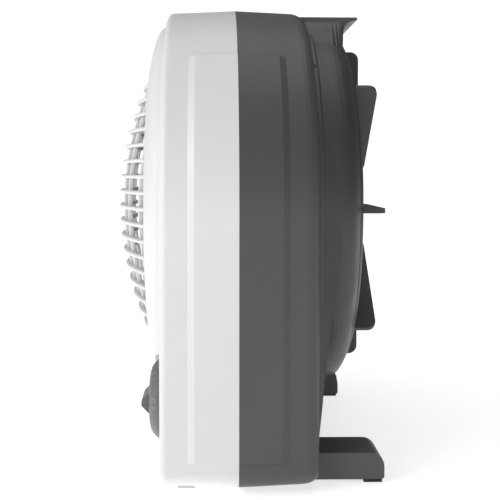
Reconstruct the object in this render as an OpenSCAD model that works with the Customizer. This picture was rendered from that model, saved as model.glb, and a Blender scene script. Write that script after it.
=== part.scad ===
// Desktop box fan: a two-part housing with a round front grille, a round
// rear drum with eight stand-off fins, a carry handle and a rotary control.
// Front faces -Y, the fan shaft runs along Y, +Z is up, the floor is Z = 0.

/* [Housing] */
// Half width of the housing at the parting line
half_w = 186; // [184:1:190]
// Height of the fan axis above the floor
axis_z = 223; // [221:1:226]
// Wall thickness of the mouldings
wall = 2.5; // [2:0.1:3]
// Radius of the lower corners of the housing
corner_r = 14; // [14:1:18]
// Height by which the side panels stand proud
panel_h = 2.2; // [1.6:0.1:2.6]

/* [Front grille] */
// Number of horizontal ribs each side of the middle one
rib_n = 9; // [8:1:9]
// Pitch of the horizontal ribs
rib_pitch = 13.8; // [13.2:0.1:13.9]
// Thickness of a horizontal rib
rib_t = 3.4; // [2.8:0.1:3.8]
// Rise of the grille dome over its rim
dome_rise = 29; // [26:1:30]

/* [Rear guard] */
// Number of stand-off fins
fin_n = 8; // [4:4:8]
// Height of the fins above the rear face
fin_h = 18.5; // [14:0.5:18.5]
// Thickness of a fin
fin_t = 4; // [3:0.5:5]
// Number of concentric guard rings
ring_n = 10; // [9:1:11]

/* [Impeller] */
// Number of blades
blade_n = 5; // [3:1:5]
// Radius of the blade tips
blade_r = 134; // [128:1:136]
// Lead of the blade surface for each degree of turn
blade_pitch = 0.52; // [0.4:0.02:0.56]

/* [Motor] */
// Radius of the motor shaft
shaft_r = 4; // [4:0.5:4.5]
// Radius of the laminated core
core_r = 42; // [41.5:0.5:43]

/* [Control] */
// Radius of the dial at its base
dial_r = 33.5; // [32:0.5:34]
// Length of the grip on the knob
grip_len = 34; // [28:1:36]

/* [Hidden] */
$fn = 96;

yp = -5.6;          // parting plane
yf = -68.5;         // front face of the housing
yr = 58.6;          // rear face of the housing
zb = 4;             // underside of the housing
df = 2.4;           // draft of the front half
dr = 2.4;           // draft of the rear half
e_in = -13.8;       // inner end of the swept edge
dome_y = -116.5;    // apex of the grille
drum_y = 98;        // rear face of the guard
dial_x = 118;
dial_z = 61;

white = [0.93, 0.93, 0.92];
grey = [0.30, 0.30, 0.31];
steel = [0.72, 0.72, 0.74];
brass = [0.78, 0.62, 0.30];
copper = [0.72, 0.42, 0.22];

// ---- helpers ------------------------------------------------------------
function arc(cx, cy, rx, ry, a0, a1, n = 6) =
    [for (i = [0:n]) [cx + rx * cos(a0 + (a1 - a0) * i / n),
                      cy + ry * sin(a0 + (a1 - a0) * i / n)]];

// solid of revolution about the fan axis, points are [radius, y]
module turn(pts, a0 = 0, a1 = 360)
    translate([0, 0, axis_z]) rotate([90, 0, 0]) rotate([0, 0, a0])
        rotate_extrude(angle = a1 - a0)
            polygon([for (p = pts) [p[0], -p[1]]]);

// straight cylinder along +Y from y0 to y1
module ycyl(r, y0, y1, x = 0, z = 0)
    translate([x, y0, z]) rotate([-90, 0, 0]) cylinder(r = r, h = y1 - y0);

module ring(r0, r1, y0, y1, x = 0, z = 0)
    difference() {
        ycyl(r1, y0, y1, x, z);
        ycyl(r0, y0 - 1, y1 + 1, x, z);
    }

module block(x0, x1, y0, y1, z0, z1)
    translate([x0, y0, z0]) cube([x1 - x0, y1 - y0, z1 - z0]);

// section swept round the arch, sides, lower corners and base;
// points are [outward offset, y]
module sweep(pts) {
    turn([for (p = pts) [half_w + p[0], p[1]]], 0, 180);
    for (s = [0, 1]) mirror([s, 0, 0]) {
        translate([0, 0, zb + corner_r])
            linear_extrude(axis_z - zb - corner_r)
                polygon([for (p = pts) [half_w + p[0], p[1]]]);
        translate([half_w - corner_r, 0, zb + corner_r]) rotate([90, 0, 0])
            rotate([0, 0, -90]) rotate_extrude(angle = 90)
                polygon([for (p = pts) [corner_r + p[0], -p[1]]]);
    }
    translate([-(half_w - corner_r), 0, 0]) rotate([90, 0, 90])
        linear_extrude(2 * (half_w - corner_r))
            polygon([for (p = pts) [p[1], zb - p[0]]]);
}

// flat plate with the outline of the housing, inset by d
module face(d, y0, y1)
    translate([0, y1, 0]) rotate([90, 0, 0]) linear_extrude(y1 - y0)
        union() {
            translate([0, axis_z]) circle(r = half_w - d, $fn = 180);
            translate([-(half_w - d), zb + d])
                square([2 * (half_w - d), axis_z - zb - d]);
        }

// raised side panel, one section on both sides
module panel(pts) {
    for (s = [0, 1]) mirror([s, 0, 0]) {
        turn([for (p = pts) [half_w + p[0], p[1]]], 0, 43.5);
        translate([0, 0, 27]) linear_extrude(axis_z - 27)
            polygon([for (p = pts) [half_w + p[0], p[1]]]);
    }
}

// screw positions round the fan axis
module polar(r, angles)
    for (a = angles) translate([r * cos(a), 0, axis_z + r * sin(a)])
        children();

function fe(y) = -df * (yp - y) / (yp - yf - 6);
function re(y) = -dr * (y - yp) / (yr - yp - 14);

housing_a = [44, 136];
guard_a = [22.5, 157.5, 202.5, 337.5];
housing_low = [[-150, 30], [-60, 22], [60, 22], [150, 30]];

// ---- housing ------------------------------------------------------------
bezel_out = [[171.6, yf], [171, -70.6], [169.6, -73], [167.4, -74.9],
    [164, -76.8], [160, -78.4], [155, -80], [150, -81.3], [145, -82.5],
    [141, -83.3], [137.2, -83.9], [136, -83.2]];

module front_shell() color(white)
    difference() {
        union() {
            sweep(concat([[0, yp]],
                arc(-df - 8, yf + 6, 8, 6, 0, -90),
                [[e_in, yf], [e_in, yf + wall]],
                arc(-df - 8, yf + 6, 8 - wall, 6 - wall, -90, 0),
                [[-wall, yp]]));
            difference() {
                face(-e_in - 0.2, yf, yf + wall);
                ycyl(169, yf - 1, yf + wall + 1, 0, axis_z);
            }
            // locating lip inside the rear half
            sweep([[-wall + 0.6, -14], [-wall + 0.2, -6], [-wall - 1.0, -6],
                [-wall - 1.1, -1], [-wall - 2.6, -1], [-wall - 2.6, -14]]);
            // raised panel
            panel([[fe(-46) - 0.8, -46], [fe(-46), -46],
                [fe(-40.5) + panel_h, -40.5], [panel_h, yp], [-1, yp]]);
            // bezel skin
            turn(concat(bezel_out, [[136, -76], [130, -76], [130, -73.5],
                [138.5, -73.5], [138.5, -80.8], [141, -80.6], [147, -79.3],
                [153, -77.8], [158, -76.2], [163, -74], [166, -71.6],
                [167.4, -69.8], [168.4, -68], [168.6, -66],
                [171.6, -66]]));
            // wall of the recess round the dial
            intersection() {
                turn(concat(bezel_out, [[136, yf + wall],
                    [171.6, yf + wall]]));
                ycyl(39, -95, yf + wall, dial_x, dial_z);
            }
            // screw bosses for the rear half
            for (p = housing_low) ycyl(5.5, yf + 1, yp, p[0], p[1]);
            polar(175.5, housing_a) ycyl(5, yf + 2, yp);
            // bosses for the dial screws
            for (x = [-18, 18])
                ycyl(3.5, yf + 2, -59, dial_x + x, dial_z);
            // front feet
            for (s = [-1, 1])
                block(s * 153 - 13, s * 153 + 13, -55.5, -39.5, 2.5, 8.4);
        }
        // recess and holes for the dial
        ycyl(36.5, -100, yf, dial_x, dial_z);
        ycyl(4.1, -72, -60, dial_x, dial_z);
        for (x = [-18, 18]) ycyl(1.3, -72, -60, dial_x + x, dial_z);
        // pilot holes for the screws from the rear half
        for (p = housing_low) ycyl(2, -32, yp + 1, p[0], p[1]);
        polar(175.5, housing_a) ycyl(2, -32, yp + 1);
        // clearance holes for the grille screws
        polar(132.5, [45, 135, 225, 315]) ycyl(1.3, -77, -72);
    }

module front_grille() color(white)
    difference() {
      union() {
        // rim
        turn([[128.2, -76], [135.8, -76], [135.8, -82], [134.6, -82.9],
            [132, -83.4], [130, -83.4], [128.2, -82.4]]);
        // horizontal ribs
        for (n = [-rib_n:rib_n]) let (z = n * rib_pitch,
            l = sqrt(130 * 130 - z * z), k = 24)
            translate([0, 0, axis_z + z - rib_t / 2]) linear_extrude(rib_t)
                polygon(concat(
                    [for (i = [0:k]) let (x = -l + 2 * l * i / k)
                        [x, dome_y + dome_rise * (x * x + z * z) / 15625]],
                    [for (i = [k:-1:0]) let (x = -l + 2 * l * i / k)
                        [x, dome_y + 8 + dome_rise * (x * x + z * z) / 15625
                            - 1.2 * (x * x + z * z) / 16900]]));
        // vertical bars
        for (n = [-3:3]) let (x = n * 36,
            l = sqrt(130 * 130 - x * x), k = 24)
            translate([x - 1.4, 0, axis_z]) rotate([90, 0, 90])
                linear_extrude(2.8) polygon(concat(
                    [for (i = [0:k]) let (z = -l + 2 * l * i / k)
                        [dome_y + 4 + dome_rise * (x * x + z * z) / 15625, z]],
                    [for (i = [k:-1:0]) let (z = -l + 2 * l * i / k)
                        [dome_y + 8.6 + dome_rise * (x * x + z * z) / 15625,
                            z]]));
      }
      polar(132.5, [45, 135, 225, 315]) ycyl(1.2, -82, -75);
    }

// slope of the fairing that runs from the drum down to the base
function slope_y(z) = yr + 15.4 * (z - 41) / 152;

// height at which the slope reaches a cap
function cap_z(cap) = min(41 + 152 * (cap - yr) / 15.4, axis_z - 1);

// wedge under the slope: w half width, y0 inner end, t depth below it
module fairing(w, y0, z0, t, cap)
    translate([-w, 0, 0]) rotate([90, 0, 90]) linear_extrude(2 * w)
        polygon([[y0, z0], [min(slope_y(z0) - t, cap), z0],
            [min(slope_y(cap_z(cap)) - t, cap), cap_z(cap)],
            [min(slope_y(axis_z) - t, cap), axis_z], [y0, axis_z]]);

drum_out = [[173.8, yr - 1], [173.8, yr + 2.6], [173.2, yr + 3.3],
    [171.8, yr + 3.7], [171.2, yr + 4.6], [171, 68], [170.8, 74],
    [170.2, 78], [168.8, 82.4], [167, 85.8], [164.4, 88.9], [161, 91.3],
    [157.6, 93.3], [156.4, 93.6], [155, 92.8]];

// floor and front wall of the finger recess under the handle
module recess_walls()
    intersection() {
        difference() {
            block(-60, 60, yr - wall, 91, axis_z + 100, 391);
            ycyl(155.9, yr - 10, 110, 0, axis_z);
            turn([[155, 88.5], [158, 88.5], [158, 95], [155, 95]]);
            difference() {
                block(-56.5, 56.5, yr, 110, axis_z + 100, 400);
                ycyl(158.4, yr - 10, 110, 0, axis_z);
            }
        }
        ycyl(171, yr - 10, 89, 0, axis_z);
    }

// cheek that flares from the handle down to the drum:
// [y, drum radius, how far round the drum it reaches]
cheek_s = [[57, 169, 1], [68, 169, 1], [74, 168.8, 1],
    [78, 168.2, 0.86], [82.4, 166.8, 0.68], [85.8, 165, 0.5],
    [88.9, 162.4, 0.3], [91, 159.6, 0.14], [92, 158, 0.02]];

module cheek()
    let (n = len(cheek_s),
        pts = [for (s = cheek_s, k = [0:3])
            let (aw = acos(60.5 / s[1]),
                at = 70.07 - acos(s[1] / 181.9),
                a = aw + (at - aw) * s[2])
            k == 0 ? [60.8, s[0], 393.2]
            : k == 1 ? [s[1] * cos(a), s[0], axis_z + s[1] * sin(a)]
            : k == 2 ? [57.2, s[0], 362] : [57.2, s[0], 393.2]])
        polyhedron(points = pts, faces = concat([[0, 1, 2, 3]],
            [for (i = [0:n - 2], k = [0:3], h = [0, 1])
                let (a = i * 4 + k, b = i * 4 + (k + 1) % 4)
                h == 0 ? [b, a, a + 4] : [b, a + 4, b + 4]],
            [[n * 4 - 1, n * 4 - 2, n * 4 - 3, n * 4 - 4]]));

module rear_shell() color(grey)
    difference() {
      union() {
       recess_walls();
       // posts for the capacitor and the terminals
       ycyl(4, yr - 16, slope_y(120) - 1, -150, 120);
       ycyl(4, yr - 16, slope_y(52) - 1, -126, 52);
       difference() {
        union() {
            sweep(concat([[-wall, yp]],
                arc(-dr - 9, yr - 14, 9 - wall, 14 - wall, 0, 90),
                [[e_in, yr - wall], [e_in, yr]],
                arc(-dr - 9, yr - 14, 9, 14, 90, 0),
                [[0, yp]]));
            face(-e_in - 0.2, yr - wall, yr);
            panel([[-1, yp], [panel_h, yp], [re(29) + panel_h, 29],
                [re(34.5), 34.5], [re(34.5) - 0.8, 34.5]]);
            // drum wall and the seat of the guard
            turn(concat(drum_out, [[154.6, 92], [154.6, 88.5],
                [145.5, 88.5], [145.5, 86], [158, 86], [161.6, 85],
                [164.4, 82.4], [166.4, 78], [167.6, 70],
                [168, yr - wall]]));
            // fairing below the drum
            difference() {
                union() {
                    fairing(173.8, yr - 1, 38, 0.3, yr + 3.2);
                    fairing(170.9, yr - 1, 38, 0, 74);
                }
                ycyl(170, yr - 3, 100, 0, axis_z);
            }
            // bosses that meet the front half
            for (p = housing_low) ycyl(5.5, yp, yr - 1, p[0], p[1]);
            polar(175.5, housing_a) ycyl(5, yp, yr - 4.5);
            // rear feet
            for (s = [0, 1]) mirror([s, 0, 0])
                translate([113, 0, 0]) rotate([90, 0, 90]) linear_extrude(42)
                    polygon(concat([[yr - 2, 3], [yr - 2, 25]],
                        arc(103, 14, 11.6, 11, 90, 0),
                        [[114.6, 5.2], [113.4, 3.4], [97, 3.4], [96, 3]]));
            // cord cleats under the drum
            for (s = [0, 1]) mirror([s, 0, 0])
                translate([56, 0, 0]) rotate([90, 0, 90])
                    linear_extrude(4)
                        polygon([[yr - 1, 47.6], [88.8, 48.8], [89.6, 50],
                            [89.2, 60], [88.2, 65.6], [86, 70], [85, 78],
                            [yr - 1, 78]]);
            // carry handle: grip plate, its root and side webs
            translate([-62, 0, 0]) rotate([90, 0, 90]) linear_extrude(124)
                polygon(concat([[yr - 10, 386], [yr - 10, 395.2],
                    [yr - 4, 395.6]], arc(104.2, 394, 1.4, 1.4, 90, -90),
                    [[99, 392], [yr - 1, 390]]));
            for (s = [0, 1]) mirror([s, 0, 0]) cheek();
            for (s = [0, 1]) mirror([s, 0, 0])
                translate([56.5, 0, 0]) rotate([90, 0, 90])
                    linear_extrude(5)
                        polygon(concat([[yr - 1, 394], [101, 394],
                            [101, 392.4]], arc(103.2, 382, 10.4, 10.4, 100,
                            180, 6), [[92.6, 366],
                            [88, 368], [84, 376], [yr - 1, 376]]));
        }
        // inside of the drum
        ycyl(168, yr - 4, 62, 0, axis_z);
        turn([[0, yr - 6], [168, yr - 6], [168, yr - 2], [167.6, 70],
            [166.4, 78], [164.4, 82.4], [161.6, 85], [158, 86], [0, 86]]);
        ycyl(145.5, 80, 100, 0, axis_z);
        turn([[0, 88.5], [154.6, 88.5], [154.6, 95], [0, 95]]);
        // inside of the fairing
        fairing(168.3, yr - 4, 50, wall, 74 - wall);
        // finger recess under the handle
        difference() {
            block(-56.5, 56.5, yr, 110, axis_z + 100, 392.2);
            ycyl(158.4, yr - 10, 110, 0, axis_z);
        }
       }
      }
        ycyl(1.45, yr - 17, yr - 5, -150, 120);
        ycyl(1.45, yr - 17, yr - 5, -126, 52);
        // cord outlet
        ycyl(6, yr - 4, yr + 2, -96, 28);
        // screw clearance through the bosses
        for (p = housing_low) {
            ycyl(4, yr - 12, yr + 1, p[0], p[1]);
            ycyl(2.2, yp - 1, yr, p[0], p[1]);
        }
        polar(175.5, housing_a) {
            ycyl(3.8, yr - 12, yr + 5);
            ycyl(2.2, yp - 1, yr);
        }
        polar(150, guard_a) ycyl(1.3, 85, 90);
    }

module rear_guard() color(grey)
    difference() {
        union() {
            // rim
            turn([[154.3, 88.5], [154.3, 93.6], [153.6, 95],
                [151.8, 96.3], [149.2, 97.2], [145.6, 97.8], [142, drum_y],
                [138, drum_y], [138, 94.5], [144, 94.3], [149, 93.2],
                [151, 91.4], [151, 88.5]]);
            polar(150, guard_a) ycyl(3.2, 88.5, 93.5);
            // hub plate
            ycyl(48, drum_y - 3.5, drum_y, 0, axis_z);
            // guard rings
            for (i = [1:ring_n]) let (r = 48 + (138 - 48) * i
                / (ring_n + 1))
                turn([[r - 1, drum_y - 4.5], [r - 0.6, drum_y - 0.6],
                    [r + 0.6, drum_y - 0.6], [r + 1, drum_y - 4.5]]);
            // spokes
            for (i = [0:23]) translate([0, 0, axis_z])
                rotate([0, -15 * i, 0])
                block(46, 139.5, drum_y - 4.5, drum_y - 1, -0.9, 0.9);
            // stand-off fins
            for (i = [0:fin_n - 1]) translate([0, 0, axis_z])
                rotate([0, -360 / fin_n * i, 0])
                translate([0, 0, -fin_t / 2]) linear_extrude(fin_t)
                    polygon(concat([[47, drum_y - 3], [49, drum_y]],
                        arc(55, drum_y + fin_h - 5, 5, 5, 180, 90),
                        arc(141, drum_y + fin_h - 8, 8, 8, 90, 0),
                        [[149, drum_y - 3.4], [144, drum_y - 3]]));
            // motor posts
            polar(34, [45, 135, 225, 315])
                ycyl(4.5, drum_y - 12, drum_y - 3);
        }
        polar(34, [45, 135, 225, 315]) ycyl(2.1, drum_y - 13, drum_y + 1);
        polar(150, guard_a) ycyl(1.2, 88, 93);
    }

module motor_bracket() color(steel)
    difference() {
        // dished plate between the motor and the guard posts
        turn([[14, 68.5], [26, 68.5], [26, drum_y - 14],
            [41, drum_y - 14], [41, drum_y - 12], [24, drum_y - 12],
            [24, 70.5], [14, 70.5]]);
        polar(34, [45, 135, 225, 315]) ycyl(2.05, drum_y - 15, drum_y - 11);
        polar(20, [0, 90, 180, 270]) ycyl(2.05, 67, 72);
    }

// ---- control ------------------------------------------------------------
module dial_plate() color([0.42, 0.42, 0.42])
    difference() {
        translate([dial_x, 0, dial_z]) rotate([90, 0, 0])
            rotate_extrude() polygon([[7, 68.5], [dial_r, 68.5],
                [dial_r + 0.3, 69.6], [dial_r - 0.2, 72.4],
                [dial_r - 2.2, 74.8], [dial_r - 5, 77.2],
                [dial_r - 7.4, 78.5], [23.2, 79.2], [22.6, 79],
                [22.6, 72.3], [7, 72.3]]);
        for (x = [-18, 18]) {
            ycyl(1.5, -73, -68, dial_x + x, dial_z);
            ycyl(2.7, -73, -70.2, dial_x + x, dial_z);
        }
    }

module speed_knob() color([0.36, 0.36, 0.36])
    difference() {
        union() {
            translate([dial_x, 0, dial_z]) rotate([90, 0, 0])
                rotate_extrude() polygon([[0, 73.1], [22.1, 73.1],
                    [22.1, 79], [21.2, 79.6], [12, 80], [0, 80]]);
            // grip, wider at its root
            translate([dial_x - grip_len / 2, 0, dial_z])
                rotate([90, 0, 90]) linear_extrude(grip_len)
                    polygon([[-78, 9], [-79.6, 8.6], [-82.2, 6.4],
                        [-85, 4], [-86, 2.6], [-86.2, 0.6],
                        [-86.2, -1.6], [-85.4, -3], [-82.6, -6],
                        [-79.6, -9.4], [-78, -9.8]]);
        }
        // socket for the switch shaft
        ycyl(3, -84, -72, dial_x, dial_z);
        // trim the ends of the grip to the knob's round
        difference() {
            ycyl(40, -90, -80, dial_x, dial_z);
            ycyl(18.5, -91, -79, dial_x, dial_z);
        }
    }

module switch_shaft() color(brass)
    ycyl(3, -84, -54, dial_x, dial_z);

module switch_nut() color(steel)
    difference() {
        translate([dial_x, -72.2, dial_z]) rotate([-90, 0, 0])
            rotate([0, 0, 30]) cylinder(r = 6.4, h = 3.7, $fn = 6);
        ycyl(3.9, -73, -68, dial_x, dial_z);
    }

module switch_body() color([0.16, 0.16, 0.17])
    difference() {
        union() {
            block(dial_x - 14, dial_x + 14, -66, -48,
                dial_z - 14, dial_z + 14);
            ycyl(3.9, -72, -66, dial_x, dial_z);
            // terminals
            for (i = [-1.5:1:1.5])
                block(dial_x + i * 6 - 1.5, dial_x + i * 6 + 1.5, -48,
                    -40, dial_z - 0.5, dial_z + 0.5);
        }
        ycyl(3.04, -73, -53.9, dial_x, dial_z);
    }

// ---- impeller -----------------------------------------------------------
// closed skin of one blade on a helical surface
function bl_h(r) = 16 + 20 * sin(180 * (r - 20) / 230);
function bl_p(r, u, s) = let (a = (u - 0.5) * 2 * bl_h(r)
        + 6 * (r - 34) / 100,
    c = 5 * (r - 34) / 100 * (1 - 4 * (u - 0.5) * (u - 0.5)))
    [r * cos(a), -17 + blade_pitch * a * (1 - 0.28 * (r - 34) / 100)
        - c + s * 1.1 * (0.25 + 3 * u * (1 - u)), r * sin(a)];

module blade(nr = 9, nu = 8)
    let (r0 = 33, dr0 = (blade_r - r0) / nr,
        w = nu + 1,
        pts = concat(
            [for (i = [0:nr], j = [0:nu]) bl_p(r0 + dr0 * i, j / nu, -1)],
            [for (i = [0:nr], j = [0:nu]) bl_p(r0 + dr0 * i, j / nu, 1)]),
        m = (nr + 1) * w)
        polyhedron(points = pts, faces = concat(
            [for (i = [0:nr - 1], j = [0:nu - 1], t = [0, 1]) t == 0
                ? [i * w + j, i * w + j + 1, (i + 1) * w + j]
                : [i * w + j + 1, (i + 1) * w + j + 1, (i + 1) * w + j]],
            [for (i = [0:nr - 1], j = [0:nu - 1], t = [0, 1]) t == 0
                ? [m + i * w + j, m + (i + 1) * w + j, m + i * w + j + 1]
                : [m + i * w + j + 1, m + (i + 1) * w + j,
                   m + (i + 1) * w + j + 1]],
            [for (i = [0:nr - 1], t = [0, 1]) t == 0
                ? [i * w, (i + 1) * w, m + i * w]
                : [(i + 1) * w, m + (i + 1) * w, m + i * w]],
            [for (i = [0:nr - 1], t = [0, 1]) t == 0
                ? [i * w + nu, m + i * w + nu, (i + 1) * w + nu]
                : [(i + 1) * w + nu, m + i * w + nu,
                   m + (i + 1) * w + nu]],
            [for (j = [0:nu - 1], t = [0, 1]) t == 0
                ? [j, m + j, j + 1] : [j + 1, m + j, m + j + 1]],
            [for (j = [0:nu - 1], t = [0, 1]) t == 0
                ? [nr * w + j, nr * w + j + 1, m + nr * w + j]
                : [nr * w + j + 1, m + nr * w + j + 1,
                   m + nr * w + j]]));

module fan_blade() color([0.80, 0.82, 0.84])
    union() {
        // hub cup
        difference() {
            turn([[0, -46], [28, -46], [32, -44.5], [35, -41], [35, 8],
                [32.6, 8], [32.6, -40], [30.4, -42.4], [27, -43.4],
                [11, -43.4], [11, -14], [0, -14]]);
            ycyl(shaft_r, -50, -10, 0, axis_z);
            // slot for the drive pin
            block(-9.6, 9.6, -17, -13, axis_z - 1.6, axis_z + 1.6);
        }
        for (i = [0:blade_n - 1]) translate([0, 0, axis_z])
            rotate([0, 360 / blade_n * i, 0]) blade();
    }

module blade_nut() color([0.30, 0.30, 0.31])
    difference() {
        union() {
            turn([[0, -58], [6, -58], [10, -56.6], [13.4, -53.4],
                [14.6, -49.6], [15, -46], [0, -46]]);
            for (i = [0:5]) translate([0, 0, axis_z]) rotate([0, 60 * i, 0])
                block(11, 17, -53, -46, -1.5, 1.5);
        }
        ycyl(shaft_r, -55.5, -45, 0, axis_z);
    }

module drive_pin() color(steel)
    translate([-9, -15.5, axis_z]) rotate([0, 90, 0])
        cylinder(r = 1.5, h = 18);

// ---- motor --------------------------------------------------------------
module motor_shaft() color(steel)
    difference() {
        ycyl(shaft_r, -55, 74, 0, axis_z);
        translate([-10, -15.5, axis_z]) rotate([0, 90, 0])
            cylinder(r = 1.5, h = 20);
    }

module rotor_core() color([0.55, 0.55, 0.57])
    ring(shaft_r, 21.6, 26, 56, 0, axis_z);

module stator_core() color([0.50, 0.50, 0.52])
    difference() {
        ring(22, core_r, 27, 55, 0, axis_z);
        for (i = [0:11]) translate([0, 0, axis_z]) rotate([0, 30 * i, 0]) {
            block(23.5, 31, 26, 56, -3.4, 3.4);
            block(20, 24, 26, 56, -1, 1);
        }
        polar(38.5, [0, 90, 180, 270]) ycyl(2.05, 26, 56);
    }

module stator_windings() color(copper)
    union() {
        turn(concat(arc(28.5, 21.5, 5, 4.2, 0, -180, 8),
            [[23.5, 27], [33.5, 27]]));
        turn(concat([[33.5, 55], [23.5, 55]],
            arc(28.5, 61, 5, 4.2, 180, 0, 8)));
        for (i = [0:11]) translate([0, 0, axis_z]) rotate([0, 30 * i, 0])
            block(24, 30.6, 26, 56, -3, 3);
    }

module motor_front_cover() color(steel)
    difference() {
        turn(concat([[0, 11], [13, 11], [13, 14.5]],
            arc(36, 20.5, 7.5, 6, 270, 360, 5),
            [[core_r + 1.5, 41], [core_r, 41], [core_r, 27],
             [41, 27]],
            arc(36, 20.5, 5.5, 4, 360, 270, 5), [[10, 16.5], [0, 16.5]]));
        ycyl(8, 10, 18, 0, axis_z);
        polar(38.5, [0, 90, 180, 270]) ycyl(2.05, 10, 30);
        for (i = [0:7]) translate([0, 0, axis_z]) rotate([0, 45 * i + 22.5, 0])
            block(18, 30, 12, 20, -1.8, 1.8);
    }

module motor_rear_cover() color(steel)
    difference() {
        turn(concat([[0, 79], [13, 79], [13, 68.5]],
            arc(36, 61.5, 7.5, 7, 90, 0, 5),
            [[core_r + 1.5, 41], [core_r, 41], [core_r, 55],
             [41, 55]],
            arc(36, 61.5, 5.5, 5, 0, 90, 5), [[10, 66.5], [0, 66.5]]));
        ycyl(8, 65, 77, 0, axis_z);
        polar(38.5, [0, 90, 180, 270]) ycyl(2.05, 54, 80);
        polar(20, [0, 90, 180, 270]) ycyl(2.05, 64, 80);
    }

module front_bearing() color(brass)
    ring(shaft_r + 0.03, 8, 11, 18, 0, axis_z);

module rear_bearing() color(brass)
    ring(shaft_r + 0.03, 8, 66, 77, 0, axis_z);

module motor_bolts() color(steel)
    for (a = [0, 90, 180, 270]) polar(38.5, [a]) {
        ycyl(2, 14.4, 70, 0, 0);
        ycyl(3.4, 11.7, 14.5, 0, 0);
    }

module motor_screws() color(steel)
    for (a = [0, 90, 180, 270]) polar(20, [a]) {
        ycyl(2, 64, 70.6, 0, 0);
        ycyl(3.4, 70.5, 72.9, 0, 0);
    }

module bracket_screws() color(steel)
    for (a = [45, 135, 225, 315]) polar(34, [a]) {
        ycyl(2, 82, drum_y + 0.1, 0, 0);
        ycyl(3.6, drum_y, drum_y + 2.4, 0, 0);
    }

// ---- electrics ----------------------------------------------------------
module run_capacitor() color([0.90, 0.90, 0.88])
    difference() {
        union() {
            block(-168, -132, yr - 36, yr - 16, 100, 114);
            block(-156, -144, yr - 19, yr - 16, 112, 126);
        }
        ycyl(1.6, yr - 20, yr - 15, -150, 120);
    }

module clip_screws() color(steel) {
    ycyl(1.4, yr - 19.1, yr - 6, -150, 120);
    ycyl(3, yr - 21.2, yr - 19, -150, 120);
    ycyl(1.4, yr - 28.1, yr - 6, -126, 52);
    ycyl(3, yr - 30.2, yr - 28, -126, 52);
}

module terminal_block() color([0.88, 0.88, 0.84])
    difference() {
        block(-140, -112, yr - 28, yr - 16, 42, 62);
        ycyl(1.6, yr - 30, yr - 15, -126, 52);
        for (x = [-134, -118], z = [47, 57])
            ycyl(2.2, yr - 29, yr - 20, x, z);
    }

module cord_bushing() color([0.14, 0.14, 0.15])
    difference() {
        translate([-96, 0, 28]) rotate([-90, 0, 0]) rotate_extrude()
            polygon([[0, yr - 8], [9, yr - 8], [9, yr - wall - 0.05],
                [5.9, yr - wall - 0.05], [5.9, yr + 0.05],
                [8.4, yr + 0.05], [7.6, yr + 3], [5.4, yr + 7],
                [0, yr + 7]]);
        ycyl(3.5, yr - 9, yr + 8, -96, 28);
    }

// a lead swept along its route with a ring of sides at each point
function unit(v) = v / norm(v);
function dir(p, i) = unit(p[min(i + 1, len(p) - 1)] - p[max(i - 1, 0)]);

module lead(p, r = 1.6, ns = 8)
    let (n = len(p), pts = [for (i = [0:n - 1], k = [0:ns - 1])
            let (t = dir(p, i), u = unit(cross(t, [0.3, 0.2, 0.93])),
                v = cross(t, u), a = 360 * k / ns)
            p[i] + r * (cos(a) * u + sin(a) * v)])
        polyhedron(points = pts, faces = concat(
            [[for (k = [0:ns - 1]) k]],
            [for (i = [0:n - 2], k = [0:ns - 1], h = [0, 1])
                let (a = i * ns + k, b = i * ns + (k + 1) % ns)
                h == 0 ? [a, a + ns, b] : [b, a + ns, b + ns]],
            [[for (k = [ns - 1:-1:0]) (n - 1) * ns + k]]));

module wiring_harness() color([0.75, 0.20, 0.15]) {
    // switch to terminals
    lead([[127, -39.8, 61], [127, -33, 61], [126, -24, 58], [124, -10, 53],
        [118, 10, 44], [102, 28, 38], [76, 38, 38], [30, 43, 46],
        [-20, 45, 56], [-60, 43, 58], [-90, 37, 52], [-104, 34, 50],
        [-111.8, 34, 50]]);
    // motor to terminals
    lead([[-6, 49, 179.3], [-6, 49, 170], [-12, 50, 150], [-24, 52, 124],
        [-44, 48, 98], [-68, 44, 80], [-90, 38, 64], [-104, 34, 57],
        [-111.8, 34, 57]]);
    // capacitor to terminals
    lead([[-150, 30, 99.8], [-150, 30, 93], [-146, 31, 82],
        [-139, 33, 73], [-134, 34, 67], [-134, 34, 62.2]]);
}

// ---- fasteners and feet -------------------------------------------------
module housing_screws() color(steel) {
    for (p = housing_low) {
        ycyl(1.95, -30, yr - 11.9, p[0], p[1]);
        ycyl(3.7, yr - 12, yr - 9.4, p[0], p[1]);
    }
    polar(175.5, housing_a) {
        ycyl(1.95, -30, yr - 11.9);
        ycyl(3.6, yr - 12, yr - 9.4);
    }
}

module guard_screws() color(steel)
    polar(150, guard_a) {
        ycyl(1.15, 85.9, 92.8);
        ycyl(2.6, 84.2, 86);
    }

module grille_screws() color(steel)
    polar(132.5, [45, 135, 225, 315]) {
        ycyl(1.15, -81.6, -73.4);
        ycyl(2.5, -73.5, -71.8);
    }

module dial_screws() color(steel)
    for (x = [-18, 18]) {
        ycyl(1.25, -70.3, -61, dial_x + x, dial_z);
        ycyl(2.6, -72.2, -70.2, dial_x + x, dial_z);
    }

module front_foot_pads() color([0.85, 0.85, 0.84])
    for (s = [-1, 1])
        block(s * 153 - 12, s * 153 + 12, -54.5, -40.5, 0, 2.5);

module rear_foot_pads() color([0.13, 0.13, 0.14])
    for (s = [-1, 1])
        block(s * 134 - 19, s * 134 + 19, 98, 113, 0, 3.4);

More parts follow.
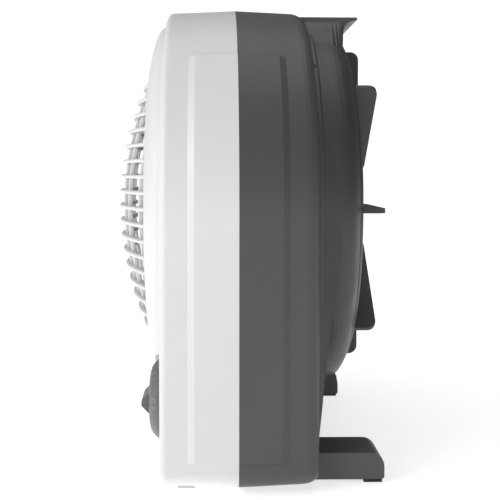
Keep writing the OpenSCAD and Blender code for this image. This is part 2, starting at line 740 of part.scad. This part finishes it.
front_shell();
front_grille();
rear_shell();
rear_guard();
dial_plate();
speed_knob();
switch_body();
switch_shaft();
switch_nut();
fan_blade();
blade_nut();
drive_pin();
motor_shaft();
rotor_core();
stator_core();
stator_windings();
motor_front_cover();
motor_rear_cover();
front_bearing();
rear_bearing();
motor_bolts();
motor_screws();
motor_bracket();
run_capacitor();
clip_screws();
terminal_block();
cord_bushing();
wiring_harness();
housing_screws();
guard_screws();
grille_screws();
bracket_screws();
dial_screws();
front_foot_pads();
rear_foot_pads();
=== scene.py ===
import bpy, bmesh, math, random
from mathutils import Vector, Matrix


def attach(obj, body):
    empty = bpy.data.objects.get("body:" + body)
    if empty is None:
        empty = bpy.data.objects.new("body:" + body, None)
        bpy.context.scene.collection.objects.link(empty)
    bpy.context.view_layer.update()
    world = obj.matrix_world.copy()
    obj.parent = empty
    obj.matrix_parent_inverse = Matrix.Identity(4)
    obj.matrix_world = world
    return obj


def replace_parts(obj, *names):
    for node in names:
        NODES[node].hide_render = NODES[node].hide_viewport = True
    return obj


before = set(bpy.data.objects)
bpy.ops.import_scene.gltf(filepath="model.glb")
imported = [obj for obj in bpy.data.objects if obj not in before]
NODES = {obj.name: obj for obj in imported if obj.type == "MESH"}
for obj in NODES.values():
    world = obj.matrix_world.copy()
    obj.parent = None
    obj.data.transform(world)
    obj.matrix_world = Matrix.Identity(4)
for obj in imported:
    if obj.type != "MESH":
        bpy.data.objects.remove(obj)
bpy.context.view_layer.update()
random.seed(11)

AX = 0.223          # height of the fan axis
MM = 0.001


# ------------------------------------------------------------------ helpers
def make(name, verts, faces, mats, body, smooth=True, angle=35.0):
    me = bpy.data.meshes.new(name)
    me.from_pydata([tuple(v) for v in verts], [], [tuple(f) for f in faces])
    me.validate()
    ob = bpy.data.objects.new(name, me)
    bpy.context.scene.collection.objects.link(ob)
    for m in (mats if isinstance(mats, (list, tuple)) else [mats]):
        me.materials.append(m)
    bm = bmesh.new()
    bm.from_mesh(me)
    bmesh.ops.remove_doubles(bm, verts=bm.verts, dist=1e-6)
    bmesh.ops.recalc_face_normals(bm, faces=bm.faces)
    if smooth:
        for f in bm.faces:
            f.smooth = True
        lim = math.radians(angle)
        for e in bm.edges:
            if len(e.link_faces) == 2 and e.calc_face_angle(0.0) > lim:
                e.smooth = False
    bm.to_mesh(me)
    bm.free()
    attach(ob, body)
    return ob


def bevel(ob, width, segments=2, angle=40.0):
    m = ob.modifiers.new("edge", "BEVEL")
    m.width = width
    m.segments = segments
    m.limit_method = "ANGLE"
    m.angle_limit = math.radians(angle)
    m.harden_normals = True
    return m


def arc(cx, cy, rx, ry, a0, a1, n=8):
    return [(cx + rx * math.cos(math.radians(a0 + (a1 - a0) * i / n)),
             cy + ry * math.sin(math.radians(a0 + (a1 - a0) * i / n)))
            for i in range(n + 1)]


def lathe(pts, n=128, x0=0.0, z0=AX, closed=True, a0=0.0, a1=360.0):
    """Section points (radius, y) in mm turned about an axis along Y."""
    full = abs(a1 - a0) >= 359.999
    k = n if full else n + 1
    V, F = [], []
    for i in range(k):
        a = math.radians(a0 + (a1 - a0) * i / n)
        c, s = math.cos(a), math.sin(a)
        for r, y in pts:
            V.append((x0 + r * MM * c, y * MM, z0 + r * MM * s))
    m = len(pts)
    for i in range(n):
        j = (i + 1) % k
        for p in range(m if closed else m - 1):
            q = (p + 1) % m
            F.append((i * m + p, i * m + q, j * m + q, j * m + p))
    if not full and closed:
        F.append(tuple(range(m)))
        F.append(tuple((k - 1) * m + p for p in reversed(range(m))))
    return V, F


def tube_along(stations):
    """stations: list of closed rings of points, capped at both ends."""
    V, F = [], []
    m = len(stations[0])
    for ring in stations:
        V.extend(ring)
    for i in range(len(stations) - 1):
        for p in range(m):
            q = (p + 1) % m
            F.append((i * m + p, i * m + q, (i + 1) * m + q, (i + 1) * m + p))
    F.append(tuple(range(m)))
    F.append(tuple((len(stations) - 1) * m + p for p in reversed(range(m))))
    return V, F


def join(parts):
    V, F = [], []
    for v, f in parts:
        o = len(V)
        V.extend(v)
        F.extend([tuple(i + o for i in g) for g in f])
    return V, F


def rounded(w, h, r0, r1, n=4):
    """Rounded rectangle, u across +-w/2, v from 0 to h; r0 rounds v=0."""
    out = []
    out += arc(-w / 2 + r0, r0, r0, r0, 180, 270, n)
    out += arc(w / 2 - r0, r0, r0, r0, 270, 360, n)
    out += arc(w / 2 - r1, h - r1, r1, r1, 0, 90, n)
    out += arc(-w / 2 + r1, h - r1, r1, r1, 90, 180, n)
    return out


# ---------------------------------------------------------------- materials
class Mat:
    def __init__(self, name):
        self.m = bpy.data.materials.new(name)
        self.m.use_nodes = True
        self.t = self.m.node_tree
        self.p = self.t.nodes["Principled BSDF"]
        self.co = self.t.nodes.new("ShaderNodeTexCoord").outputs["Object"]

    def n(self, kind, **kw):
        nd = self.t.nodes.new(kind)
        for k, v in kw.items():
            setattr(nd, k, v)
        return nd

    def link(self, a, b):
        self.t.links.new(a, b)

    def noise(self, scale, detail=2.0, rough=0.5, stretch=None):
        nd = self.n("ShaderNodeTexNoise")
        nd.inputs["Scale"].default_value = scale
        nd.inputs["Detail"].default_value = detail
        nd.inputs["Roughness"].default_value = rough
        src = self.co
        if stretch:
            mp = self.n("ShaderNodeMapping")
            mp.inputs["Scale"].default_value = stretch
            self.link(src, mp.inputs["Vector"])
            src = mp.outputs["Vector"]
        self.link(src, nd.inputs["Vector"])
        return nd.outputs["Fac"]

    def ramp(self, src, stops):
        nd = self.n("ShaderNodeValToRGB")
        el = nd.color_ramp.elements
        while len(el) < len(stops):
            el.new(0.5)
        for e, (p, c) in zip(el, stops):
            e.position = p
            e.color = (c[0], c[1], c[2], 1.0) if not isinstance(c, float) \
                else (c, c, c, 1.0)
        self.link(src, nd.inputs["Fac"])
        return nd.outputs["Color"]

    def span(self, src, a, b, lo, hi):
        nd = self.n("ShaderNodeMapRange")
        nd.inputs["From Min"].default_value = a
        nd.inputs["From Max"].default_value = b
        nd.inputs["To Min"].default_value = lo
        nd.inputs["To Max"].default_value = hi
        self.link(src, nd.inputs["Value"])
        return nd.outputs["Result"]

    def bump(self, src, strength, dist, prev=None):
        nd = self.n("ShaderNodeBump")
        nd.inputs["Strength"].default_value = strength
        nd.inputs["Distance"].default_value = dist
        self.link(src, nd.inputs["Height"])
        if prev is not None:
            self.link(prev, nd.inputs["Normal"])
        return nd.outputs["Normal"]

    def set(self, **kw):
        for k, v in kw.items():
            self.p.inputs[k.replace("_", " ")].default_value = v


def shade(c, f):
    return tuple(min(1.0, x * f) for x in c)


def moulded(name, col, rough=0.42, grain=1500.0, depth=0.00006, var=0.03,
            spec=0.5, dust=0.0, drum_painted_shade=0.0):
    """Moulded thermoplastic with a fine spark-eroded grain, a faint flow
    tone, wiping marks in the roughness and a little dust on upper faces;
    where asked, painted shade darkens the colour of the drum behind the box."""
    k = Mat(name)
    slow = k.noise(9.0, 3.0, 0.55)
    c = k.ramp(slow, [(0.3, shade(col, 1 - var)), (0.7, shade(col, 1 + var))])
    if dust:
        geo = k.n("ShaderNodeNewGeometry")
        sep = k.n("ShaderNodeSeparateXYZ")
        k.link(geo.outputs["Normal"], sep.inputs["Vector"])
        up = k.span(sep.outputs["Z"], 0.35, 1.0, 0.0, dust)
        mot = k.span(k.noise(60.0, 4.0, 0.6), 0.35, 0.7, 0.5, 1.0)
        mul = k.n("ShaderNodeMath", operation="MULTIPLY")
        k.link(up, mul.inputs[0])
        k.link(mot, mul.inputs[1])
        mix = k.n("ShaderNodeMix", data_type="RGBA")
        k.link(mul.outputs[0], mix.inputs["Factor"])
        k.link(c, mix.inputs["A"])
        mix.inputs["B"].default_value = (0.42, 0.41, 0.39, 1.0)
        c = mix.outputs["Result"]
    if drum_painted_shade:
        # painted shade: the colour of the drum behind the box, between the
        # heights given below, is darkened to stand in for the box's shadow on
        # it and for its facing away from the light
        pos = k.n("ShaderNodeSeparateXYZ")
        k.link(k.n("ShaderNodeNewGeometry").outputs["Position"],
               pos.inputs["Vector"])
        behind_box_shade = k.span(pos.outputs["Y"], 0.060, 0.068, 0.0, drum_painted_shade)
        low = k.span(pos.outputs["Z"], 0.030, 0.045, 0.0, 1.0)
        high = k.span(pos.outputs["Z"], 0.380, 0.390, 1.0, 0.0)
        m1 = k.n("ShaderNodeMath", operation="MULTIPLY")
        k.link(behind_box_shade, m1.inputs[0])
        k.link(low, m1.inputs[1])
        m2 = k.n("ShaderNodeMath", operation="MULTIPLY")
        k.link(m1.outputs[0], m2.inputs[0])
        k.link(high, m2.inputs[1])
        mix = k.n("ShaderNodeMix", data_type="RGBA")
        k.link(m2.outputs[0], mix.inputs["Factor"])
        k.link(c, mix.inputs["A"])
        mix.inputs["B"].default_value = (0.0, 0.0, 0.0, 1.0)
        c = mix.outputs["Result"]
    k.link(c, k.p.inputs["Base Color"])
    wipe = k.noise(35.0, 4.0, 0.6, stretch=(1.0, 1.0, 0.35))
    k.link(k.span(wipe, 0.3, 0.7, rough - 0.06, rough + 0.07),
           k.p.inputs["Roughness"])
    fine = k.noise(grain, 2.0, 0.6)
    wave = k.noise(22.0, 1.0, 0.4)
    b = k.bump(wave, 0.10, 0.0012)
    b = k.bump(fine, 0.35, depth, b)
    k.link(b, k.p.inputs["Normal"])
    k.set(Specular_IOR_Level=spec)
    return k.m


def metal(name, col, rough=0.32, grain=700.0, streak=None, var=0.06):
    k = Mat(name)
    k.link(k.ramp(k.noise(40.0, 3.0, 0.6),
                  [(0.3, shade(col, 1 - var)), (0.7, shade(col, 1 + var))]),
           k.p.inputs["Base Color"])
    f = k.noise(grain, 3.0, 0.6, stretch=streak)
    k.link(k.span(f, 0.3, 0.7, rough - 0.08, rough + 0.1),
           k.p.inputs["Roughness"])
    k.link(k.bump(f, 0.3, 0.00005), k.p.inputs["Normal"])
    k.set(Metallic=1.0)
    return k.m


def rubber(name, col):
    k = Mat(name)
    k.link(k.ramp(k.noise(70.0, 4.0, 0.6),
                  [(0.3, shade(col, 0.85)), (0.7, shade(col, 1.15))]),
           k.p.inputs["Base Color"])
    k.link(k.span(k.noise(400.0, 3.0, 0.6), 0.3, 0.7, 0.62, 0.85),
           k.p.inputs["Roughness"])
    k.link(k.bump(k.noise(900.0, 3.0, 0.6), 0.4, 0.0001),
           k.p.inputs["Normal"])
    return k.m


def copper_wire():
    """Varnished copper turns lying round the motor axis."""
    k = Mat("winding_wire")
    sep = k.n("ShaderNodeSeparateXYZ")
    k.link(k.co, sep.inputs["Vector"])
    w = k.n("ShaderNodeTexWave", wave_type="RINGS", rings_direction="Y")
    w.inputs["Scale"].default_value = 420.0
    w.inputs["Distortion"].default_value = 1.2
    mp = k.n("ShaderNodeMapping")
    mp.inputs["Location"].default_value = (0.0, 0.0, -AX)
    k.link(k.co, mp.inputs["Vector"])
    k.link(mp.outputs["Vector"], w.inputs["Vector"])
    k.link(k.ramp(w.outputs["Fac"], [(0.0, (0.20, 0.06, 0.02)),
                                     (1.0, (0.62, 0.25, 0.09))]),
           k.p.inputs["Base Color"])
    k.link(k.span(w.outputs["Fac"], 0.0, 1.0, 0.5, 0.25),
           k.p.inputs["Roughness"])
    k.link(k.bump(w.outputs["Fac"], 0.7, 0.0004), k.p.inputs["Normal"])
    k.set(Metallic=0.6, Coat_Weight=0.4)
    return k.m


def laminated():
    k = Mat("lamination_stack")
    w = k.n("ShaderNodeTexWave", wave_type="BANDS", bands_direction="Y")
    w.inputs["Scale"].default_value = 330.0
    w.inputs["Distortion"].default_value = 0.3
    k.link(k.co, w.inputs["Vector"])
    k.link(k.ramp(w.outputs["Fac"], [(0.0, (0.05, 0.05, 0.055)),
                                     (0.6, (0.26, 0.26, 0.28))]),
           k.p.inputs["Base Color"])
    k.link(k.span(w.outputs["Fac"], 0.0, 1.0, 0.65, 0.35),
           k.p.inputs["Roughness"])
    k.link(k.bump(w.outputs["Fac"], 0.5, 0.0002), k.p.inputs["Normal"])
    k.set(Metallic=0.9)
    return k.m


WHITE = moulded("shell_white", (0.80, 0.80, 0.80), rough=0.40, var=0.012,
                grain=1300.0, depth=0.00005)
GRILLE = moulded("grille_white", (0.81, 0.81, 0.81), rough=0.36, var=0.012,
                 grain=1600.0, depth=0.00003)
# the dark shell gets painted shade in the colour of its drum (drum=0.38)
DARK = moulded("shell_dark", (0.081, 0.081, 0.082), rough=0.43, var=0.035,
               grain=1300.0, depth=0.00007, dust=0.03, drum_painted_shade=0.38)
GUARD = moulded("guard_dark", (0.050, 0.050, 0.051), rough=0.45, var=0.035,
                grain=1300.0, depth=0.00007, dust=0.03)
DIAL = moulded("dial_grey", (0.155, 0.155, 0.155), rough=0.38, var=0.03,
               grain=1700.0, depth=0.00004)
KNOB = moulded("knob_grey", (0.145, 0.145, 0.145), rough=0.36, var=0.03,
               grain=1700.0, depth=0.00004)
PRINT = moulded("print_pale", (0.26, 0.26, 0.255), rough=0.5, var=0.02,
                grain=2500.0, depth=0.00002)
BLADE = moulded("blade_smoke", (0.50, 0.52, 0.55), rough=0.22, var=0.03,
                grain=500.0, depth=0.00002)
BLACK = moulded("body_black", (0.018, 0.018, 0.02), rough=0.45, var=0.1)
CASE = moulded("case_cream", (0.66, 0.66, 0.62), rough=0.35, var=0.03)
LEAD = moulded("lead_sleeve", (0.38, 0.03, 0.02), rough=0.4, var=0.08)
STEEL = metal("zinc_steel", (0.62, 0.62, 0.64), 0.30, 900.0)
COVER = metal("pressed_cover", (0.50, 0.51, 0.53), 0.38, 260.0)
SHAFT = metal("ground_shaft", (0.70, 0.70, 0.72), 0.18, 1200.0,
              streak=(1.0, 6.0, 1.0))
BRASS = metal("bronze_bush", (0.64, 0.44, 0.20), 0.35, 1500.0)
ALU = metal("cast_rotor", (0.58, 0.59, 0.61), 0.42, 400.0)
PALE_RUBBER = rubber("pad_pale", (0.62, 0.62, 0.61))
BLACK_RUBBER = rubber("pad_black", (0.020, 0.020, 0.021))
WIRE = copper_wire()
STACK = laminated()

LOOKS = {
    "front_shell": WHITE, "front_grille": GRILLE, "rear_shell": DARK,
    "rear_guard": GUARD, "dial_plate": DIAL, "speed_knob": KNOB,
    "switch_body": BLACK, "switch_shaft": BRASS, "switch_nut": STEEL,
    "fan_blade": BLADE, "blade_nut": GUARD, "drive_pin": STEEL,
    "motor_shaft": SHAFT, "rotor_core": ALU, "stator_core": STACK,
    "stator_windings": WIRE, "motor_front_cover": COVER,
    "motor_rear_cover": COVER, "front_bearing": BRASS,
    "rear_bearing": BRASS, "motor_bolts": STEEL, "motor_screws": STEEL,
    "motor_bracket": COVER, "run_capacitor": CASE, "clip_screws": STEEL,
    "terminal_block": CASE, "cord_bushing": BLACK,
    "wiring_harness": LEAD, "housing_screws": STEEL,
    "guard_screws": STEEL, "grille_screws": STEEL,
    "bracket_screws": STEEL, "dial_screws": STEEL,
    "front_foot_pads": PALE_RUBBER, "rear_foot_pads": BLACK_RUBBER,
}
for node, ob in NODES.items():
    mat = LOOKS[node]
    if len(ob.material_slots) == 0:
        ob.data.materials.append(mat)
    for s in ob.material_slots:
        s.material = mat


# ------------------------------------------------------------ front grille
def dome(x, z):
    return -116.5 + 29.0 * (x * x + z * z) / 15625.0


def front_grille():
    parts = []
    # rim
    rim = ([(128.2, -76.0), (135.8, -76.0), (135.8, -81.2)]
           + arc(133.6, -81.2, 2.2, 2.2, 0, -90, 6)
           + arc(130.3, -81.3, 2.1, 2.1, -90, -180, 6))
    parts.append(lathe(rim, 160))
    sec = rounded(3.4, 8.0, 1.65, 0.5, 5)
    for n in range(-9, 10):
        z = n * 13.8
        half = math.sqrt(130.0 ** 2 - z * z)
        k = 56
        st = []
        for i in range(k + 1):
            x = -half + 2 * half * i / k
            y0 = dome(x, z)
            st.append([(x * MM, (y0 + v) * MM, AX + (z + u) * MM)
                       for u, v in sec])
        parts.append(tube_along(st))
    sec = rounded(2.8, 4.6, 1.3, 0.5, 4)
    for n in range(-3, 4):
        x = n * 36.0
        half = math.sqrt(130.0 ** 2 - x * x)
        k = 48
        st = []
        for i in range(k + 1):
            z = -half + 2 * half * i / k
            y0 = dome(x, z) + 4.0
            st.append([((x + u) * MM, (y0 + v) * MM, AX + z * MM)
                       for u, v in sec])
        parts.append(tube_along(st))
    V, F = join(parts)
    ob = make("grille_moulding", V, F, GRILLE, "root")
    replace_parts(ob, "front_grille")


front_grille()


# ----------------------------------------------------------------- impeller
def half_angle(r):
    return 16.0 + 20.0 * math.sin(math.radians(180.0 * (r - 20.0) / 230.0))


def blade_point(r, u, s):
    a = (u - 0.5) * 2 * half_angle(r) + 6.0 * (r - 34.0) / 100.0
    c = 5.0 * (r - 34.0) / 100.0 * (1 - 4 * (u - 0.5) ** 2)
    th = 1.1 * (0.12 + 3.1 * u * (1 - u))
    y = -17.0 + 0.52 * a * (1 - 0.28 * (r - 34.0) / 100.0) - c + s * th
    ar = math.radians(a)
    return (r * MM * math.cos(ar), y * MM, r * MM * math.sin(ar))


def impeller():
    parts = []
    nr, nu = 26, 22
    for b in range(5):
        ca, sa = math.cos(math.radians(72 * b)), math.sin(math.radians(72 * b))
        V, F = [], []

        def spin(p):
            x, y, z = p
            return (x * ca + z * sa, y, AX - x * sa + z * ca)

        def trim(r, u):
            # rounded tip corners: the leading and trailing ends fall back
            e = abs(u - 0.5) * 2
            f = max(0.0, (r - 104.0) / 30.0)
            return r - 9.0 * f * max(0.0, e - 0.55) ** 2 / 0.2025

        for s in (-1, 1):
            for i in range(nr + 1):
                r = 33.0 + (133.6 - 33.0) * i / nr
                for j in range(nu + 1):
                    u = j / nu
                    V.append(spin(blade_point(trim(r, u), u, s)))
        w = nu + 1
        m = (nr + 1) * w
        for i in range(nr):
            for j in range(nu):
                a, b2, c, d = (i * w + j, i * w + j + 1,
                               (i + 1) * w + j + 1, (i + 1) * w + j)
                F.append((a, b2, c, d))
                F.append((m + a, m + d, m + c, m + b2))
        for i in range(nr):
            F.append((i * w, (i + 1) * w, m + (i + 1) * w, m + i * w))
            F.append((i * w + nu, m + i * w + nu, m + (i + 1) * w + nu,
                      (i + 1) * w + nu))
        for j in range(nu):
            F.append((j, m + j, m + j + 1, j + 1))
            F.append((nr * w + j, nr * w + j + 1, m + nr * w + j + 1,
                      m + nr * w + j))
        parts.append((V, F))
    hub = ([(4.0, -46.0), (27.0, -46.0)]
           + arc(29.0, -40.0, 6.0, 6.0, -80, 0, 8)
           + [(35.0, 7.4), (34.4, 8.0), (33.2, 8.0), (32.6, 7.4),
              (32.6, -40.0), (30.4, -42.4), (27.0, -43.4), (11.6, -43.4),
              (11.0, -42.8), (11.0, -14.0), (4.0, -14.0)])
    parts.append(lathe(hub, 96))
    V, F = join(parts)
    ob = make("impeller_moulding", V, F, BLADE, "rotor",
              angle=40.0)
    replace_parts(ob, "fan_blade")


impeller()


# ------------------------------------------------------------------- screws
def screw_mesh(x, z, y_seat, y_top, rh, rs, y_tip, turn):
    """Pan-head screw with a cross recess; the head faces y_top."""
    s = 1.0 if y_top > y_seat else -1.0
    bm = bmesh.new()

    def loop(pts, y):
        return [bm.verts.new(((x + p[0]) * MM, y * MM, (z + p[1]) * MM))
                for p in pts]

    def circle(r, n=32):
        return [(r * math.cos(2 * math.pi * i / n),
                 r * math.sin(2 * math.pi * i / n)) for i in range(n)]

    def close(lp):
        return [bm.edges.new((lp[i], lp[(i + 1) % len(lp)]))
                for i in range(len(lp))]

    def skin(l0, l1):
        n = len(l0)
        for i in range(n):
            bm.faces.new((l0[i], l0[(i + 1) % n], l1[(i + 1) % n], l1[i]))

    h = abs(y_top - y_seat)
    w, ln = rh * 0.13, rh * 0.58
    cross = [(ln, -w), (ln, w), (w, w), (w, ln), (-w, ln), (-w, w),
             (-ln, w), (-ln, -w), (-w, -w), (-w, -ln), (w, -ln), (w, -w)]
    ca, sa = math.cos(turn), math.sin(turn)
    cross = [(p[0] * ca - p[1] * sa, p[0] * sa + p[1] * ca) for p in cross]
    small = [(p[0] * 0.72, p[1] * 0.72) for p in cross]
    top = loop(circle(rh * 0.70), y_top)
    rim = loop(cross, y_top)
    bot = loop(small, y_top - s * h * 0.62)
    bmesh.ops.triangle_fill(bm, use_beauty=True,
                            edges=close(top) + close(rim))
    skin(rim, bot)
    bmesh.ops.triangle_fill(bm, use_beauty=True, edges=[
        e for e in bm.edges if e.verts[0] in bot and e.verts[1] in bot])
    prev = top
    for f, g in ((0.86, 0.10), (0.95, 0.26), (1.0, 0.5), (1.0, 0.97),
                 (0.98, 1.0)):
        nxt = loop(circle(rh * f), y_top - s * h * g)
        skin(prev, nxt)
        prev = nxt
    nxt = loop(circle(rs), y_seat)
    skin(prev, nxt)
    prev = nxt
    span_y = y_tip - y_seat
    for f, g in ((1.0, 0.9), (0.72, 1.0)):
        nxt = loop(circle(rs * f), y_seat + span_y * g)
        skin(prev, nxt)
        prev = nxt
    bm.faces.new(prev)
    bm.verts.index_update()
    V = [tuple(v.co) for v in bm.verts]
    F = [tuple(v.index for v in f.verts) for f in bm.faces]
    bm.free()
    return V, F


def screws():
    yr = 58.6
    rnd = random.Random(5)
    parts = []
    for p in ((-150, 30), (-60, 22), (60, 22), (150, 30)):
        parts.append(screw_mesh(p[0], p[1], yr - 12, yr - 9.4, 3.7, 1.95,
                                -30, rnd.uniform(0, 1.5)))
    for a in (44, 136):
        t = math.radians(a)
        parts.append(screw_mesh(175.5 * math.cos(t), 223 + 175.5 * math.sin(t),
                                yr - 12, yr - 9.4, 3.6, 1.95, -30,
                                rnd.uniform(0, 1.5)))
    V, F = join(parts)
    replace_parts(make("housing_screw_set", V, F, STEEL, "root"),
                "housing_screws")
    parts = []
    for a in (45, 135, 225, 315):
        t = math.radians(a)
        parts.append(screw_mesh(34 * math.cos(t), 223 + 34 * math.sin(t),
                                98.0, 100.4, 3.6, 2.0, 82,
                                rnd.uniform(0, 1.5)))
    V, F = join(parts)
    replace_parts(make("bracket_screw_set", V, F, STEEL, "root"),
                "bracket_screws")


screws()


# --------------------------------------------------------------- dial marks
GLYPHS = {
    "0": [arc(0.0, 0.5, 0.32, 0.5, 0, 360, 20)],
    "1": [[(-0.18, 0.80), (0.06, 1.0), (0.06, 0.0)]],
    "2": [arc(0.0, 0.70, 0.30, 0.30, 165, -40, 10)
          + [(-0.32, 0.0), (0.34, 0.0)]],
    "3": [arc(0.0, 0.76, 0.27, 0.24, 150, -90, 8)
          + arc(0.0, 0.26, 0.31, 0.26, 90, -150, 9)],
}


def ribbon(line, w):
    """Flat strip with mitred joints along a polyline in the plane."""
    pts = [Vector((p[0], p[1])) for p in line]
    V, F = [], []
    for i, p in enumerate(pts):
        d = pts[min(i + 1, len(pts) - 1)] - pts[max(i - 1, 0)]
        d.normalize()
        n = Vector((-d.y, d.x)) * (w / 2)
        V += [p + n, p - n]
    for i in range(len(pts) - 1):
        F.append((2 * i, 2 * i + 1, 2 * i + 3, 2 * i + 2))
    return V, F


def dial_print():
    """Pale figures 0 to 3 and their ticks on the sloping skirt."""
    parts = []

    def skirt(t):
        # t = 0 at the outer edge of the slope, 1 at the inner edge
        prof = [(33.3, -72.4), (31.3, -74.8), (28.5, -77.2), (26.1, -78.5)]
        f = min(max(t, 0.0), 0.9999) * 3
        i = int(f)
        f -= i
        return (prof[i][0] + (prof[i + 1][0] - prof[i][0]) * f,
                prof[i][1] + (prof[i + 1][1] - prof[i][1]) * f)

    def place(u, v, ang, lift):
        r, y = skirt(v)
        a = math.radians(ang) + u / r
        r += lift * 0.6
        return ((118.0 + r * math.cos(a)) * MM, (y - lift * 0.8) * MM,
                (61.0 + r * math.sin(a)) * MM)

    def stamp(line, w, ang, size, v0, v1):
        V, F = ribbon(line, w / size)
        out = []
        for lift in (-0.05, 0.07):
            for p in V:
                out.append(place(-p[0] * size, v0 + (v1 - v0) * (1 - p[1]),
                                 ang, lift))
        m = len(V)
        G = [tuple(i + m for i in f) for f in F]
        G += [tuple(reversed(f)) for f in F]
        for i in range(0, m - 2, 2):
            G.append((i, i + 2, i + 2 + m, i + m))
            G.append((i + 3, i + 1, i + 1 + m, i + 3 + m))
        G.append((0, m, m + 1, 1))
        G.append((m - 1, 2 * m - 1, 2 * m - 2, m - 2))
        parts.append((out, G))

    for i in range(4):
        ang = 45.0 * i
        for line in GLYPHS[str(i)]:
            fine = []
            for p, q2 in zip(line[:-1], line[1:]):
                for k in range(4):
                    fine.append((p[0] + (q2[0] - p[0]) * k / 4,
                                 p[1] + (q2[1] - p[1]) * k / 4))
            fine.append(line[-1])
            stamp(fine, 0.85, ang + 11.0, 4.6, 0.16, 0.74)
        tick = [(0.0, k / 8) for k in range(9)]
        stamp(tick, 0.8, ang, 3.0, 0.12, 0.62)
    V, F = join(parts)
    make("dial_figures", V, F, PRINT, "root", angle=20.0)


dial_print()

for node, width in (("rear_guard", 0.0006), ("rear_shell", 0.0006),
                    ("speed_knob", 0.0005), ("dial_plate", 0.0003),
                    ("rear_foot_pads", 0.0006), ("front_foot_pads", 0.0006)):
    bevel(NODES[node], width, 2, 42.0)


# ------------------------------------------------------- floor, light, view
def plane(name, size, loc, mat):
    V, F = [], []
    n = 8
    for i in range(n + 1):
        for j in range(n + 1):
            V.append((loc[0] + size * (i / n - 0.5),
                      loc[1] + size * (j / n - 0.5), loc[2]))
    for i in range(n):
        for j in range(n):
            a = i * (n + 1) + j
            F.append((a, a + n + 1, a + n + 2, a + 1))
    me = bpy.data.meshes.new(name)
    me.from_pydata(V, [], F)
    me.materials.append(mat)
    ob = bpy.data.objects.new(name, me)
    bpy.context.scene.collection.objects.link(ob)
    return ob


fl = Mat("floor_pale")
fl.link(fl.ramp(fl.noise(3.0, 2.0), [(0.3, (0.86, 0.86, 0.86)),
                                     (0.7, (0.88, 0.88, 0.88))]),
        fl.p.inputs["Base Color"])
fl.set(Roughness=0.9)
far = fl.n("ShaderNodeVectorMath", operation="LENGTH")
fl.link(fl.co, far.inputs[0])
fl.link(fl.span(far.outputs["Value"], 0.25, 1.3, 0.68, 0.98),
        fl.p.inputs["Emission Strength"])
fl.p.inputs["Emission Color"].default_value = (1.0, 1.0, 1.0, 1.0)
plane("floor", 14.0, (0, 0, 0), fl.m)

world = bpy.data.worlds.new("studio")
bpy.context.scene.world = world
world.use_nodes = True
bg = world.node_tree.nodes["Background"]
bg.inputs["Color"].default_value = (1.0, 1.0, 1.0, 1.0)
bg.inputs["Strength"].default_value = 0.40
# the backdrop is seen white, whatever the studio's own level
wt = world.node_tree
seen = wt.nodes.new("ShaderNodeBackground")
seen.inputs["Color"].default_value = (1.0, 1.0, 1.0, 1.0)
seen.inputs["Strength"].default_value = 1.1
# the studio is dimmer behind the fan than in front of it
wco = wt.nodes.new("ShaderNodeTexCoord")
wsep = wt.nodes.new("ShaderNodeSeparateXYZ")
wramp = wt.nodes.new("ShaderNodeMapRange")
wramp.inputs["From Min"].default_value = -0.6
wramp.inputs["From Max"].default_value = 0.9
wramp.inputs["To Min"].default_value = 0.36
wramp.inputs["To Max"].default_value = 0.02
wt.links.new(wco.outputs["Generated"], wsep.inputs["Vector"])
wt.links.new(wsep.outputs["Y"], wramp.inputs["Value"])
wt.links.new(wramp.outputs["Result"], bg.inputs["Strength"])
path = wt.nodes.new("ShaderNodeLightPath")
pick = wt.nodes.new("ShaderNodeMixShader")
wt.links.new(path.outputs["Is Camera Ray"], pick.inputs["Fac"])
wt.links.new(bg.outputs["Background"], pick.inputs[1])
wt.links.new(seen.outputs["Background"], pick.inputs[2])
wt.links.new(pick.outputs["Shader"],
             wt.nodes["World Output"].inputs["Surface"])


def area(name, loc, target, size, power, color=(1, 1, 1)):
    li = bpy.data.lights.new(name, "AREA")
    li.shape = "RECTANGLE"
    li.size, li.size_y = size
    li.energy = power
    li.color = color
    ob = bpy.data.objects.new(name, li)
    bpy.context.scene.collection.objects.link(ob)
    ob.location = loc
    d = Vector(target) - Vector(loc)
    ob.rotation_euler = d.to_track_quat("-Z", "Y").to_euler()
    return ob


area("key", (1.35, -1.7, 1.1), (0, 0, 0.22), (1.0, 1.0), 16.5)
area("front_fill", (0.3, -2.0, 0.9), (0, 0, 0.2), (1.6, 1.6), 4.0)
area("top", (0.0, 0.2, 2.2), (0, 0, 0.2), (1.8, 1.8), 10.5)
area("rear_fill", (0.9, 1.9, 0.9), (0, 0, 0.2), (1.4, 1.4), 0.1)

cam = bpy.data.cameras.new("camera")
cam_ob = bpy.data.objects.new("camera", cam)
bpy.context.scene.collection.objects.link(cam_ob)
cam.sensor_width = 36.0
cam.lens = 61.80
cam.clip_start = 0.01
cam.shift_x = 0.05
cam.shift_y = -0.10
cam_ob.location = (0.84862, -0.02472, 0.25792)
YAW, PITCH, ROLL = 0.01222, 0.0369, 0.00013
look = Vector((-math.cos(YAW) * math.cos(PITCH),
               math.sin(YAW) * math.cos(PITCH), -math.sin(PITCH)))
q = look.to_track_quat("-Z", "Y")
cam_ob.rotation_mode = "QUATERNION"
cam_ob.rotation_quaternion = q @ Matrix.Rotation(ROLL, 3, "Z").to_quaternion()
bpy.context.scene.camera = cam_ob

bpy.context.scene.view_settings.view_transform = "Standard"
bpy.context.scene.view_settings.look = "None"
